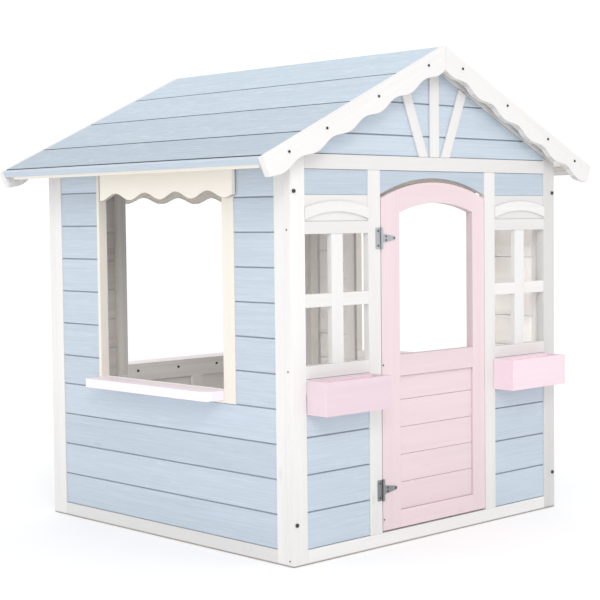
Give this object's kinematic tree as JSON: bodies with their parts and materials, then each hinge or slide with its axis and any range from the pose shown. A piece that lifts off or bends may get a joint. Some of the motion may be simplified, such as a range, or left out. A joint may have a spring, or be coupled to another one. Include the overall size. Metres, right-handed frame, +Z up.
{
  "type": "wooden playhouse",
  "caption": "Gabled wooden playhouse: painted board walls, scalloped trim, open shelf windows, paned front windows with planter boxes, and an arched door on T-hinges.",
  "frame": {"origin": "on the ground, under the centre of the cabin", "axes": "+Z up, -Y out of the front wall with the door, +X to the right as seen from the front"},
  "size_m": [1.384, 1.22, 1.3749],
  "materials": {
    "white_paint": "satin white paint over softwood grain",
    "cream_paint": "satin off-white paint over softwood grain",
    "blue_paint": "satin pale blue paint over softwood grain",
    "pink_paint": "satin pale pink paint over softwood grain",
    "bare_wood": "thin whitewash on sawn softwood",
    "zinc_plate": "bright zinc plating",
    "dark_steel": "dark zinc fastener"
  },
  "bodies": {
    "house": {"front_corner_posts": "white_paint", "front_bottom_rail": "white_paint", "front_beam": "white_paint", "front_rake_rails": "white_paint", "gable_struts": "white_paint", "front_gable_boards": "blue_paint", "front_top_boards": "blue_paint", "door_jambs": "white_paint", "window_heads": "white_paint", "window_arches": "white_paint", "window_bars": "white_paint", "window_sills": "white_paint", "front_lower_boards": "blue_paint", "left_planter": "pink_paint", "right_planter": "pink_paint", "left_corner_stiles": "white_paint", "left_rails": "white_paint", "left_window_stiles": "cream_paint", "left_sill_rail": "cream_paint", "left_wall_boards": "blue_paint", "left_valance": "cream_paint", "left_shelf": "pink_paint", "left_inner_battens": "bare_wood", "right_corner_stiles": "white_paint", "right_rails": "white_paint", "right_window_stiles": "cream_paint", "right_sill_rail": "cream_paint", "right_wall_boards": "blue_paint", "right_valance": "cream_paint", "right_shelf": "pink_paint", "right_inner_battens": "bare_wood", "back_corner_posts": "white_paint", "back_rails": "white_paint", "back_rake_rails": "white_paint", "back_gable_boards": "blue_paint", "back_window_stiles": "cream_paint", "back_sill_rail": "cream_paint", "back_wall_boards": "blue_paint", "back_valance": "cream_paint", "back_shelf": "pink_paint", "back_inner_battens": "bare_wood", "left_roof_boards": "blue_paint", "right_roof_boards": "blue_paint", "eave_strips": "blue_paint", "eave_battens": "cream_paint", "roof_rafters": "bare_wood", "front_barge_boards": "white_paint", "back_barge_boards": "white_paint", "hinge_plates": "zinc_plate", "frame_bolts": "dark_steel", "barge_bolts": "dark_steel", "edge_screws": "dark_steel"},
    "door": {"door_stiles": "pink_paint", "door_top_rail": "pink_paint", "door_mid_rail": "pink_paint", "door_bottom_rail": "pink_paint", "door_boards": "pink_paint", "hinge_straps": "zinc_plate", "door_screws": "dark_steel"}
  },
  "joints": [
    {"name": "door_hinge", "type": "hinge", "parent": "house", "child": "door", "pos_m": [-0.2215, -0.541, 0.5], "axis": [0, 0, -1], "range_deg": [0, 100]}
  ]
}
